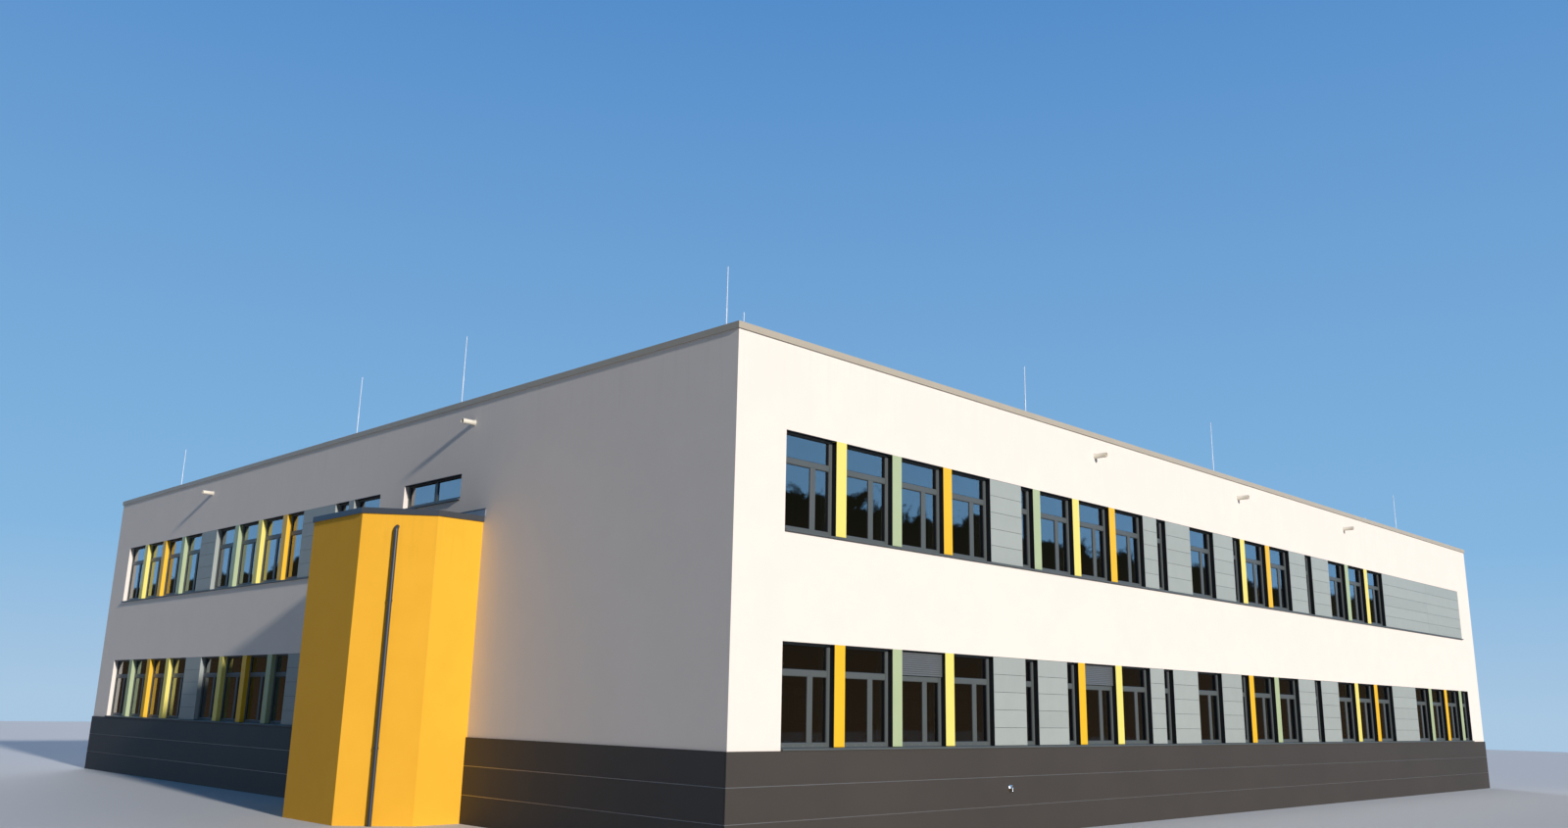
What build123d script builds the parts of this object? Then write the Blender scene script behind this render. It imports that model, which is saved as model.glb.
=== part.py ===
"""School building of two storeys with ribbon windows, coloured fins and a golden annex with cut corners.

The origin is on the ground, below the middle of the building. +X runs along the long front,
+Y to the back and +Z up. The front faces -Y and the annex stands on the left side, at -X.
"""
import os
from collections import namedtuple
from math import atan2, cos, pi, sin, tan

from build123d import *

os.makedirs("parts", exist_ok=True)

# Main block. Heights in this group and the next two are measured from the top of the plinth.
block_length = 36700
block_depth = 29450
wall_thickness = 400
plinth_height = 1590
storey_height = 3500
parapet_top = 6840
coping_face = 115
coping_sheet = 20
coping_overhang = 31
coping_length = 7350
coping_joint = 8

# Window bands
band_height = 1715
band_margin = 1155
band_end_margin = 1215
side_band_start = 11825
side_band_length = 16400
recess_depth = 110
sill_height = 50
sill_overhang = 50

# Floors and roof
sill_above_floor = 850
floor_thickness = 300
roof_slab_top = 5980
roof_slab_thickness = 280
roof_covering_thickness = 220

# Plinth cladding
course_count = 3
board_thickness = 30
board_joint = 14
board_corner_gap = 6

# Widths of the bays in a window band
window_width = 1253
half_window_width = 680
narrow_window_width = 437
medium_window_width = 930
fin_width = 262
panel_width = 1088
wide_panel_width = 1214
short_panel_width = 641
double_panel_width = 2060
side_panel_width = 1710
smallest_bay = 300

# Window frames and glass
frame_bar = 60
frame_head = 35
frame_bottom_rail = 110
frame_depth = 125
glass_setback = 24
glass_thickness = 26

# Strip window above the annex
strip_window_start = 8355
strip_window_length = 2375
strip_window_bottom = 4720
strip_window_height = 560
strip_mullion_width = 110

# Annex
annex_start = 7375
annex_width = 3860
annex_depth = 2130
annex_side = 1000
annex_corner = 890
annex_wall = 240
annex_top = 4290
annex_roof_drop = 120
annex_roof_thickness = 220
annex_coping_face = 112
annex_coping_sheet = 15
annex_coping_overhang = 30
flashing_end = 60
flashing_height = 160
flashing_thickness = 12

# Downpipe on the near cut corner of the annex
pipe_radius = 40
pipe_wall_gap = 45
pipe_place = 760
pipe_top_drop = 240
clip_width = 40
clip_band = 8
clip_stem = 30
clip_count = 2

# Overflow spouts below the parapet
spout_height = 6310
spout_radius = 55
spout_bore_radius = 46
spout_sides = 12
spout_reach = 290
front_spout_start = 11010
front_spout_spacing = 7145
front_spout_count = 3
side_spout_places = (8010, 21870)

# Tap on the plinth
tap_place = 7375
tap_drop = 740
tap_rosette_radius = 60
tap_rosette_thickness = 15
tap_bar = 44
tap_reach = 70
tap_spout_drop = 75
tap_sides = 12

# Lightning rods, as distances from the front left corner with their lengths
rod_radius = 14
rod_sides = 6
rod_foot_radius = 170
rod_foot_sides = 8
rod_foot_height = 90
rods = (
    (750, 1145, 2000),
    (650, 590, 1000),
    (9640, 900, 2000),
    (19250, 1150, 2450),
    (31750, 620, 2000),
    (720, 9850, 2450),
    (950, 15300, 2500),
    (620, 26300, 2000),
)

# Places that follow from the sizes above
annex_reach = annex_depth + annex_coping_overhang
block_left = (annex_reach - spout_reach - block_length) / 2
block_front = -block_depth / 2
coping_underside = parapet_top - coping_sheet
front_band_end = block_length - band_end_margin
annex_left = block_depth - annex_start - annex_width
clear_height = band_height - sill_height
board_height = (plinth_height - (course_count - 1) * board_joint) / course_count

bay_width = {
    "W": window_width,
    "H": half_window_width,
    "N": narrow_window_width,
    "M": medium_window_width,
    "y": fin_width,
    "o": fin_width,
    "g": fin_width,
    "k": fin_width,
    "P": panel_width,
    "Q": wide_panel_width,
    "S": short_panel_width,
    "D": double_panel_width,
    "R": side_panel_width,
}
window_kinds = "WHNM"
panel_kinds = "PQSDRk"
fin_names = {"y": "yellow_fins", "o": "orange_fins", "g": "green_fins"}

# One letter for each bay, read from the front corner; the closing bay fills the band's end
front_upper_layout = "WyWgWoWPNgWyWoWSNQWPNyWoWPNQWgWyW"
front_lower_layout = "WoWgWyWPNPNoWyWSNQWPNoWgWPNQWyWoWDWgWoWg"
side_upper_layout = "WkHRMoWyWgWPWgWoWy"
side_lower_layout = "WkHRMgWoWyWPWyWoWg"

Bay = namedtuple("Bay", "kind x width bottom")
Facade = namedtuple("Facade", "name plane width bays bands")


def lay_out(layout, closing, start, end, bottom):
    """Bays of one band, left to right; the closing bay takes up what is left before the end."""
    bays = []
    x = start
    for kind in layout:
        if x + bay_width[kind] > end:
            break
        bays.append(Bay(kind, x, bay_width[kind], bottom))
        x += bay_width[kind]
    if end - x > smallest_bay:
        bays.append(Bay(closing, x, end - x, bottom))
        x = end
    return bays, (start, x, bottom)


def turn_over(bays, band, width):
    """The same band seen on a side whose front corner is at the right."""
    start, end, bottom = band
    turned = [Bay(bay.kind, width - bay.x - bay.width, bay.width, bay.bottom) for bay in bays]
    return turned[::-1], (width - end, width - start, bottom)


def make_facade(name, corner, x_dir, z_dir, width, upper, lower, turned=False):
    """A side of the block with its two bands, on a plane whose origin is its left plinth corner."""
    start, end, upper_layout, upper_closing = upper
    upper_bays, upper_band = lay_out(upper_layout, upper_closing, start, end, storey_height)
    start, end, lower_layout, lower_closing = lower
    lower_bays, lower_band = lay_out(lower_layout, lower_closing, start, end, 0)
    if turned:
        upper_bays, upper_band = turn_over(upper_bays, upper_band, width)
        lower_bays, lower_band = turn_over(lower_bays, lower_band, width)
    origin = (block_left + corner[0], block_front + corner[1], plinth_height)
    plane = Plane(origin=origin, x_dir=x_dir, z_dir=z_dir)
    return Facade(name, plane, width, upper_bays + lower_bays, [upper_band, lower_band])


front_bands = (
    (band_margin, front_band_end, front_upper_layout, "P"),
    (band_margin, front_band_end, front_lower_layout, "H"),
)
side_band_end = side_band_start + side_band_length
side_bands = (
    (side_band_start, side_band_end, side_upper_layout, "W"),
    (side_band_start, side_band_end, side_lower_layout, "W"),
)
front = make_facade("front", (0, 0), (1, 0, 0), (0, -1, 0), block_length, *front_bands)
back = make_facade(
    "back", (block_length, block_depth), (-1, 0, 0), (0, 1, 0), block_length, *front_bands
)
left = make_facade(
    "left", (0, block_depth), (0, -1, 0), (-1, 0, 0), block_depth, *side_bands, turned=True
)
right = make_facade("right", (block_length, 0), (0, 1, 0), (1, 0, 0), block_depth, *side_bands)
facades = (front, left, back, right)
strip_window_x = block_depth - strip_window_start - strip_window_length


def level(height):
    """Horizontal plane at a height above the plinth top, with its origin at the front left corner."""
    return Plane.XY.offset(plinth_height + height).move(Location((block_left, block_front, 0)))


def rectangle_at(x, y, width, height, mode=Mode.ADD):
    """Rectangle placed by its lower left corner."""
    with Locations((x + width / 2, y + height / 2)):
        Rectangle(width, height, mode=mode)


def windows_of(facade):
    return [bay for bay in facade.bays if bay.kind in window_kinds]


def finish(piece, name):
    """Label a finished piece and write it to its file."""
    piece.part.label = name
    export_step(piece.part, f"parts/{name}.step")


# Plinth walls, under the outer walls and down to the ground
def plinth_wall(facade, start, end):
    with BuildPart() as wall:
        with BuildSketch(facade.plane):
            rectangle_at(start, -plinth_height, end - start, plinth_height)
        extrude(amount=-wall_thickness)
    return wall


for facade in (front, back):
    finish(plinth_wall(facade, 0, facade.width), f"{facade.name}_plinth_wall")
for facade in (left, right):
    finish(
        plinth_wall(facade, wall_thickness, facade.width - wall_thickness),
        f"{facade.name}_plinth_wall",
    )


# Dark plinth boards in three courses, with an open joint between courses
def board_runs(facade):
    """Stretches of one side that the boards cover: whole on the long sides, less the annex."""
    if facade in (front, back):
        return [(-board_thickness, facade.width + board_thickness)]
    low, high = board_corner_gap, facade.width - board_corner_gap
    if facade is right:
        return [(low, high)]
    return [
        (low, annex_left - board_corner_gap),
        (annex_left + annex_width + board_corner_gap, high),
    ]


with BuildPart() as plinth_boards:
    for facade in facades:
        with BuildSketch(facade.plane):
            for start, end in board_runs(facade):
                for course in range(course_count):
                    bottom = course * (board_height + board_joint) - plinth_height
                    rectangle_at(start, bottom, end - start, board_height)
        extrude(amount=board_thickness)
finish(plinth_boards, "plinth_boards")


# Outer walls with the band recesses and the window openings
def outer_wall(facade, start, end):
    with BuildPart() as wall:
        with BuildSketch(facade.plane):
            rectangle_at(start, 0, end - start, coping_underside)
        extrude(amount=-wall_thickness)
        with BuildSketch(facade.plane):
            for band_start, band_end, bottom in facade.bands:
                rectangle_at(band_start, bottom, band_end - band_start, band_height)
        extrude(amount=-recess_depth, mode=Mode.SUBTRACT)
        with BuildSketch(facade.plane):
            for bay in windows_of(facade):
                rectangle_at(bay.x, bay.bottom, bay.width, band_height)
            if facade is left:
                rectangle_at(
                    strip_window_x, strip_window_bottom, strip_window_length, strip_window_height
                )
        extrude(amount=-wall_thickness, mode=Mode.SUBTRACT)
    return wall


for facade in (front, back):
    finish(outer_wall(facade, 0, facade.width), f"{facade.name}_wall")
for facade in (left, right):
    finish(
        outer_wall(facade, wall_thickness, facade.width - wall_thickness), f"{facade.name}_wall"
    )


# Floors and roof between the outer walls
def inner_slab(top, thickness):
    with BuildPart() as slab:
        with BuildSketch(level(top)):
            rectangle_at(
                wall_thickness,
                wall_thickness,
                block_length - 2 * wall_thickness,
                block_depth - 2 * wall_thickness,
            )
        extrude(amount=-thickness)
    return slab


finish(inner_slab(-sill_above_floor, floor_thickness), "ground_floor_slab")
finish(inner_slab(storey_height - sill_above_floor, floor_thickness), "upper_floor_slab")
finish(inner_slab(roof_slab_top, roof_slab_thickness), "roof_slab")
roof_surface = roof_slab_top + roof_covering_thickness
finish(inner_slab(roof_surface, roof_covering_thickness), "roof_covering")


# Window frames with a taller bottom rail, and the glass that stands behind their front edge
def window_frames(facade):
    with BuildPart() as frames:
        with BuildSketch(facade.plane.offset(-recess_depth)):
            for bay in windows_of(facade):
                rectangle_at(bay.x, bay.bottom, bay.width, band_height)
                rectangle_at(
                    bay.x + frame_bar,
                    bay.bottom + frame_bottom_rail,
                    bay.width - 2 * frame_bar,
                    band_height - frame_bottom_rail - frame_head,
                    mode=Mode.SUBTRACT,
                )
        extrude(amount=-frame_depth)
    return frames


def window_glass(facade):
    with BuildPart() as glass:
        with BuildSketch(facade.plane.offset(-recess_depth - glass_setback)):
            for bay in windows_of(facade):
                rectangle_at(
                    bay.x + frame_bar,
                    bay.bottom + frame_bottom_rail,
                    bay.width - 2 * frame_bar,
                    band_height - frame_bottom_rail - frame_head,
                )
        extrude(amount=-glass_thickness)
    return glass


for facade in facades:
    finish(window_frames(facade), f"{facade.name}_window_frames")
    finish(window_glass(facade), f"{facade.name}_window_glass")


# Coloured fins, one standing in front of each pier between two windows
for kind, name in fin_names.items():
    with BuildPart() as fins:
        for facade in facades:
            with BuildSketch(facade.plane):
                for bay in facade.bays:
                    if bay.kind == kind:
                        rectangle_at(bay.x, bay.bottom + sill_height, bay.width, clear_height)
            extrude(amount=-recess_depth)
    finish(fins, name)


# Fields of grey facade board, flush with the render
for facade in facades:
    with BuildPart() as grey_panels:
        with BuildSketch(facade.plane):
            for bay in facade.bays:
                if bay.kind in panel_kinds:
                    rectangle_at(bay.x, bay.bottom + sill_height, bay.width, clear_height)
        extrude(amount=-recess_depth)
    finish(grey_panels, f"{facade.name}_panels")


# Metal sills, one along the foot of each band and one below the strip window
with BuildPart() as window_sills:
    for facade in facades:
        with BuildSketch(facade.plane.offset(-recess_depth)):
            for band_start, band_end, bottom in facade.bands:
                rectangle_at(band_start, bottom, band_end - band_start, sill_height)
            if facade is left:
                rectangle_at(
                    strip_window_x, strip_window_bottom, strip_window_length, sill_height
                )
        extrude(amount=recess_depth + sill_overhang)
finish(window_sills, "window_sills")

# Strip window above the annex, with two lights
strip_plane = left.plane.offset(-recess_depth)
light_width = (strip_window_length - 2 * frame_bar - strip_mullion_width) / 2
light_height = strip_window_height - frame_bottom_rail - frame_head
light_bottom = strip_window_bottom + frame_bottom_rail
light_places = [
    strip_window_x + frame_bar + index * (light_width + strip_mullion_width) for index in range(2)
]

with BuildPart() as strip_window_frame:
    with BuildSketch(strip_plane):
        rectangle_at(strip_window_x, strip_window_bottom, strip_window_length, strip_window_height)
        for place in light_places:
            rectangle_at(place, light_bottom, light_width, light_height, mode=Mode.SUBTRACT)
    extrude(amount=-frame_depth)
finish(strip_window_frame, "strip_window_frame")

with BuildPart() as strip_window_glass:
    with BuildSketch(strip_plane.offset(-glass_setback)):
        for place in light_places:
            rectangle_at(place, light_bottom, light_width, light_height)
    extrude(amount=-glass_thickness)
finish(strip_window_glass, "strip_window_glass")


# Metal coping on the parapet: an inverted trough round the block, with open joints along each side
def parapet_ring(grow, height):
    """Plan of the parapet, made wider by grow on both sides, at a height above the plinth top."""
    inner = wall_thickness + grow
    with BuildSketch(level(height)) as ring:
        rectangle_at(-grow, -grow, block_length + 2 * grow, block_depth + 2 * grow)
        rectangle_at(
            inner, inner, block_length - 2 * inner, block_depth - 2 * inner, mode=Mode.SUBTRACT
        )
    return ring.sketch


coping_foot = parapet_top - coping_face
with BuildPart() as roof_coping:
    extrude(parapet_ring(coping_overhang, coping_foot), amount=coping_face)
    extrude(
        parapet_ring(coping_overhang - coping_sheet, coping_foot),
        amount=coping_face - coping_sheet,
        mode=Mode.SUBTRACT,
    )
    for facade in facades:
        length_count = round(facade.width / coping_length)
        with BuildSketch(facade.plane.offset(coping_overhang)):
            for index in range(1, length_count):
                joint_middle = facade.width * index / length_count
                rectangle_at(joint_middle - coping_joint / 2, coping_foot, coping_joint, coping_face)
        extrude(amount=-wall_thickness - 2 * coping_overhang, mode=Mode.SUBTRACT)
finish(roof_coping, "roof_coping")

# Annex: two sides that leave the wall squarely, two cut corners and a flat face
corner_turn = atan2(annex_corner, annex_depth - annex_side)
annex_end = annex_start + annex_width
annex_coping_foot = annex_top - annex_coping_face
annex_wall_height = annex_top - annex_coping_sheet + plinth_height


def annex_plan(grow, height):
    """Plan of the annex, made larger all round by grow, at a height above the plinth top."""
    side = annex_side + grow * tan(corner_turn / 2)
    depth = annex_depth + grow
    corner = annex_corner - grow * tan((pi / 2 - corner_turn) / 2)
    with BuildSketch(level(height)) as plan:
        with BuildLine():
            Polyline(
                (0, annex_start - grow),
                (-side, annex_start - grow),
                (-depth, annex_start + corner),
                (-depth, annex_end - corner),
                (-side, annex_end + grow),
                (0, annex_end + grow),
                close=True,
            )
        make_face()
    return plan.sketch


def annex_wall_piece(start, width):
    """The part of the annex wall between two places along the side of the block."""
    with BuildPart() as wall:
        extrude(annex_plan(0, -plinth_height), amount=annex_wall_height)
        extrude(annex_plan(-annex_wall, -plinth_height), amount=annex_wall_height, mode=Mode.SUBTRACT)
        with BuildSketch(level(-plinth_height)):
            rectangle_at(-annex_depth, start, annex_depth, width)
        extrude(amount=annex_wall_height, mode=Mode.INTERSECT)
    return wall


finish(annex_wall_piece(annex_start, annex_corner), "annex_near_wall")
finish(
    annex_wall_piece(annex_start + annex_corner, annex_width - 2 * annex_corner),
    "annex_front_wall",
)
finish(annex_wall_piece(annex_end - annex_corner, annex_corner), "annex_far_wall")

annex_roof_top = annex_top - annex_roof_drop
with BuildPart() as annex_roof:
    extrude(annex_plan(-annex_wall, annex_roof_top), amount=-annex_roof_thickness)
finish(annex_roof, "annex_roof")

with BuildPart() as annex_coping:
    extrude(annex_plan(annex_coping_overhang, annex_coping_foot), amount=annex_coping_face)
    extrude(
        annex_plan(annex_coping_overhang - annex_coping_sheet, annex_coping_foot),
        amount=annex_coping_face - annex_coping_sheet,
        mode=Mode.SUBTRACT,
    )
    extrude(
        annex_plan(-annex_wall - annex_coping_overhang, annex_top - annex_coping_sheet),
        amount=annex_coping_sheet,
        mode=Mode.SUBTRACT,
    )
finish(annex_coping, "annex_coping")

with BuildPart() as annex_flashing:
    with BuildSketch(left.plane):
        rectangle_at(
            annex_left - flashing_end,
            annex_top,
            annex_width + 2 * flashing_end,
            flashing_height,
        )
    extrude(amount=flashing_thickness)
finish(annex_flashing, "annex_flashing")

# Downpipe on the near cut corner, with an elbow into the wall below the coping
pipe_out = pipe_wall_gap + pipe_radius
pipe_x = -annex_side - pipe_place * cos(corner_turn) - pipe_out * sin(corner_turn)
pipe_y = annex_start + pipe_place * sin(corner_turn) - pipe_out * cos(corner_turn)
pipe_top = annex_coping_foot - pipe_top_drop
ground_centre = Vector(block_left + pipe_x, block_front + pipe_y, 0)
inward = Vector(sin(corner_turn), cos(corner_turn), 0)
elbow_foot = ground_centre + Vector(0, 0, plinth_height + pipe_top - pipe_out)
elbow_end = elbow_foot + inward * pipe_out + Vector(0, 0, pipe_out)
annex_solid = extrude(annex_plan(0, -plinth_height), amount=annex_wall_height, mode=Mode.PRIVATE)

with BuildPart() as downpipe:
    with BuildLine():
        Line(ground_centre, elbow_foot)
        TangentArc(elbow_foot, elbow_end, tangent=(0, 0, 1))
    with BuildSketch(Plane.XY.move(Location(ground_centre))):
        Circle(pipe_radius)
    sweep()
    add(annex_solid, mode=Mode.SUBTRACT)
finish(downpipe, "downpipe")

with BuildPart() as downpipe_clips:
    for clip in range(clip_count):
        clip_height = (clip + 0.5) * (pipe_top - pipe_out + plinth_height) / clip_count
        clip_plane = Plane(
            origin=ground_centre + Vector(0, 0, clip_height), x_dir=inward, z_dir=(0, 0, 1)
        )
        with BuildSketch(clip_plane):
            Circle(pipe_radius + clip_band)
            rectangle_at(0, -clip_stem / 2, pipe_radius + pipe_wall_gap + annex_wall, clip_stem)
            Circle(pipe_radius, mode=Mode.SUBTRACT)
        extrude(amount=clip_width)
    add(annex_solid, mode=Mode.SUBTRACT)
finish(downpipe_clips, "downpipe_clips")

# Overflow spouts: short tubes that stand out of the wall
spout_places = []
for index in range(front_spout_count):
    place = front_spout_start + index * front_spout_spacing
    spout_places += [(front, place), (back, place)]
for place in side_spout_places:
    spout_places += [(left, block_depth - place), (right, place)]

with BuildPart() as overflow_spouts:
    for facade, place in spout_places:
        with BuildSketch(facade.plane):
            with Locations((place, spout_height)):
                RegularPolygon(spout_radius, spout_sides)
                RegularPolygon(spout_bore_radius, spout_sides, mode=Mode.SUBTRACT)
        extrude(amount=spout_reach)
finish(overflow_spouts, "overflow_spouts")

# Garden tap on the front plinth: a rosette and a square body that turns down at its end
tap_plane = front.plane.offset(board_thickness)
with BuildPart() as plinth_tap:
    with BuildSketch(tap_plane):
        with Locations((tap_place, -tap_drop)):
            RegularPolygon(tap_rosette_radius, tap_sides)
    extrude(amount=tap_rosette_thickness)
    with BuildSketch(tap_plane.offset(tap_rosette_thickness)):
        with Locations((tap_place, -tap_drop)):
            Rectangle(tap_bar, tap_bar)
    extrude(amount=tap_reach)
    with BuildSketch(tap_plane.offset(tap_rosette_thickness + tap_reach - tap_bar)):
        rectangle_at(tap_place - tap_bar / 2, -tap_drop - tap_spout_drop, tap_bar, tap_spout_drop)
    extrude(amount=tap_bar)
finish(plinth_tap, "plinth_tap")

# Lightning rods, each in a concrete foot on the roof; the far edges repeat the near ones
rod_places = []
for x, y, length in rods:
    rod_places += [(x, y, length), (block_length - x, block_depth - y, length)]

with BuildPart() as rod_feet:
    with BuildSketch(level(roof_surface)):
        with Locations([(x, y) for x, y, length in rod_places]):
            RegularPolygon(rod_foot_radius, rod_foot_sides)
    extrude(amount=rod_foot_height)
finish(rod_feet, "rod_feet")

with BuildPart() as lightning_rods:
    for x, y, length in rod_places:
        with BuildSketch(level(roof_surface + rod_foot_height)):
            with Locations((x, y)):
                RegularPolygon(rod_radius, rod_sides)
        extrude(amount=length)
finish(lightning_rods, "lightning_rods")
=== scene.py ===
"""A two-storey school building: white render, ribbon windows with coloured fins, a golden annex.

The script follows the building as it is put up: the concrete shell, the rendered walls, the plinth,
the windows with their fins, boards and sills, the roof, the annex, and last the light and camera.
Everything is in metres. The sides are seen from outside, so u runs to the right along a side,
v runs up, and w comes out of the wall towards the viewer.
"""
import bmesh
import bpy
import numpy as np
from mathutils import Matrix, Vector


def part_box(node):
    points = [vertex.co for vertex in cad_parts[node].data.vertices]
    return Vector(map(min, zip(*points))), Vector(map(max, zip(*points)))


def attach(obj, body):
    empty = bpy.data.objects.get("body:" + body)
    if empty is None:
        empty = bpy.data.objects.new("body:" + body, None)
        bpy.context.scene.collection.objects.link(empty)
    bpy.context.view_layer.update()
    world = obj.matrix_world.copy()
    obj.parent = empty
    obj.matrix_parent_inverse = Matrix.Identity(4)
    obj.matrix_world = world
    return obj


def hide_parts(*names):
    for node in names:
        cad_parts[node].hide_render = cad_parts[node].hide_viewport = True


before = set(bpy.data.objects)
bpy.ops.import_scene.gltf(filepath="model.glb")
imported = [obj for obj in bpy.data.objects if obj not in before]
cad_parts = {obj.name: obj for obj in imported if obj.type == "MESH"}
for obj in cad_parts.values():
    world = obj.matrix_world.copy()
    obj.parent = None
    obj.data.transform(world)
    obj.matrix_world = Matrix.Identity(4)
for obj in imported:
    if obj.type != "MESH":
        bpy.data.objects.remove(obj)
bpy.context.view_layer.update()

# Concrete shell: cast plinth walls, two floors and a roof slab. The faces are the grey of
# formwork concrete, mottled where the cement gathered, with the pores that air leaves.


def linear(colour):
    """sRGB hex to linear light.

    A channel c becomes c / 12.92 in the darkest tones and ((c + 0.055) / 1.055) ** 2.4 above them.
    """
    channels = [int(colour[i : i + 2], 16) / 255 for i in (1, 3, 5)]
    return [c / 12.92 if c <= 0.04045 else ((c + 0.055) / 1.055) ** 2.4 for c in channels] + [1.0]


def add_node(finish, kind, settings=None, links=None):
    """Adds one shader node: settings fill its sockets or properties, links feed its sockets."""
    made = finish.node_tree.nodes.new(kind)
    for name, value in (settings or {}).items():
        if isinstance(name, int) or name in made.inputs:
            made.inputs[name].default_value = value
        else:
            setattr(made, name, value)
    for name, source in (links or {}).items():
        finish.node_tree.links.new(source, made.inputs[name])
    return made


def start_finish(name, **sockets):
    """A new material, with values that are the same all over set on the shader's own sockets."""
    finish = bpy.data.materials.new(name)
    finish.use_nodes = True
    shader = finish.node_tree.nodes["Principled BSDF"]
    for socket, value in sockets.items():
        shader.inputs[socket.replace("_", " ")].default_value = value
    return finish, shader


def feed(finish, shader, socket, source):
    """Links an output to one of the shader's own sockets."""
    finish.node_tree.links.new(source, shader.inputs[socket])


def mottled(finish, shader, coords, low, high, patch, detail=4.0):
    """Base colour that wanders between two tones in patches of a given size in metres."""
    cloud = add_node(
        finish,
        "ShaderNodeTexNoise",
        {"Scale": 1 / patch, "Detail": detail, "Roughness": 0.6},
        {"Vector": coords},
    )
    tone = add_node(
        finish,
        "ShaderNodeMix",
        {"data_type": "RGBA", "clamp_factor": True},
        {"Factor": cloud.outputs["Fac"]},
    )
    tone.inputs[6].default_value = linear(low)
    tone.inputs[7].default_value = linear(high)
    feed(finish, shader, "Base Color", tone.outputs[2])
    return tone


def grained(finish, shader, coords, grain, depth, detail=2.0):
    """Bump from a fine noise: grain is the size of one grain and depth its height, in metres."""
    noise = add_node(
        finish, "ShaderNodeTexNoise", {"Scale": 1 / grain, "Detail": detail}, {"Vector": coords}
    )
    bump = add_node(
        finish, "ShaderNodeBump", {"Distance": depth}, {"Height": noise.outputs["Fac"]}
    )
    feed(finish, shader, "Normal", bump.outputs["Normal"])


def object_coords(finish):
    """The Object coordinates on which a finish lays out its patterns."""
    return add_node(finish, "ShaderNodeTexCoord").outputs["Object"]


def coat(node, finish):
    """Gives a CAD node its finish."""
    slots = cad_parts[node].data.materials
    slots.clear()
    slots.append(finish)


concrete, shader = start_finish("formwork_concrete", Roughness=0.85)
coords = object_coords(concrete)
mottled(concrete, shader, coords, "#8A8781", "#A19E97", patch=0.9)
grained(concrete, shader, coords, grain=0.012, depth=0.0015)

# The directions u, v and w of each side, in the building's x, y and z.
SIDES = {
    "front": ((1, 0, 0), (0, 0, 1), (0, -1, 0)),
    "left": ((0, -1, 0), (0, 0, 1), (-1, 0, 0)),
    "back": ((-1, 0, 0), (0, 0, 1), (0, 1, 0)),
    "right": ((0, 1, 0), (0, 0, 1), (1, 0, 0)),
}
for node in ("ground_floor_slab", "upper_floor_slab", "roof_slab"):
    coat(node, concrete)
for side in SIDES:
    coat(f"{side}_plinth_wall", concrete)

# Outer walls: masonry with a white mineral render, trowelled and then rubbed to an even grain.
# The 2 mm grain is too fine for the view and is drawn at 15 mm. Rain leaves faint grey runs
# below the coping.

run_width, run_length = 0.11, 2.2
run_begins, run_is_full = 0.52, 0.8


def streaked(finish, shader, coords, tone, stain, top, length, strength):
    """Darkens a tone in thin upright runs that fade over a length below a height."""
    stretched = add_node(
        finish, "ShaderNodeMapping", {"Scale": (1, 1, run_width / run_length)}, {"Vector": coords}
    )
    runs = add_node(
        finish,
        "ShaderNodeTexNoise",
        {"Scale": 1 / run_width, "Detail": 3.0, "Roughness": 0.7},
        {"Vector": stretched.outputs["Vector"]},
    )
    thin = add_node(
        finish,
        "ShaderNodeMapRange",
        {"From Min": run_begins, "From Max": run_is_full, "To Max": strength},
        {"Value": runs.outputs["Fac"]},
    )
    height = add_node(finish, "ShaderNodeSeparateXYZ", links={"Vector": coords})
    fade = add_node(
        finish,
        "ShaderNodeMapRange",
        {"From Min": top - length, "From Max": top},
        {"Value": height.outputs["Z"]},
    )
    amount = add_node(
        finish,
        "ShaderNodeMath",
        {"operation": "MULTIPLY"},
        {0: thin.outputs["Result"], 1: fade.outputs["Result"]},
    )
    mixed = add_node(
        finish,
        "ShaderNodeMix",
        {"data_type": "RGBA"},
        {"Factor": amount.outputs["Value"]},
    )
    finish.node_tree.links.new(tone.outputs[2], mixed.inputs[6])
    mixed.inputs[7].default_value = linear(stain)
    feed(finish, shader, "Base Color", mixed.outputs[2])


coping_low, coping_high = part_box("roof_coping")
white_render, shader = start_finish("white_mineral_render", Roughness=0.92)
coords = object_coords(white_render)
tone = mottled(white_render, shader, coords, "#E0D9D2", "#E7E0D9", patch=0.8, detail=6.0)
streaked(
    white_render, shader, coords, tone, "#AFABA3", top=coping_low[2], length=1.6, strength=0.12
)
grained(white_render, shader, coords, grain=0.015, depth=0.0008)
for side in SIDES:
    coat(f"{side}_wall", white_render)

# Plinth boards: large fibre cement boards in three courses, through-coloured a brown anthracite,
# smooth and matt with a cloudy tone. A thin aluminium profile closes each joint between courses.


def solids_in(node, side):
    """Lowest and highest corner of every separate solid of a node, in a side's own directions.

    Corners at the same place are one point. Each point takes the smallest label on its faces, over
    and over until nothing changes, and the points that share a label are one solid.
    """
    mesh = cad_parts[node].data
    points = np.empty(len(mesh.vertices) * 3)
    mesh.vertices.foreach_get("co", points)
    corners = np.empty(len(mesh.loops), int)
    mesh.loops.foreach_get("vertex_index", corners)
    place, point = np.unique(points.reshape(-1, 3).round(4), axis=0, return_inverse=True)
    faces = point.ravel()[corners].reshape(-1, 3)
    label = np.arange(len(place))
    changed = True
    while changed:
        lowest = label[faces].min(axis=1)
        spread = label.copy()
        np.minimum.at(spread, faces.ravel(), np.repeat(lowest, 3))
        changed = (spread != label).any()
        label = spread
    seen = place @ np.array(SIDES[side]).T
    groups = [seen[label == one] for one in np.unique(label)]
    low = np.array([group.min(axis=0) for group in groups])
    high = np.array([group.max(axis=0) for group in groups])
    order = np.lexsort((low[:, 0], low[:, 1].round(1)))
    return low[order], high[order]


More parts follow.
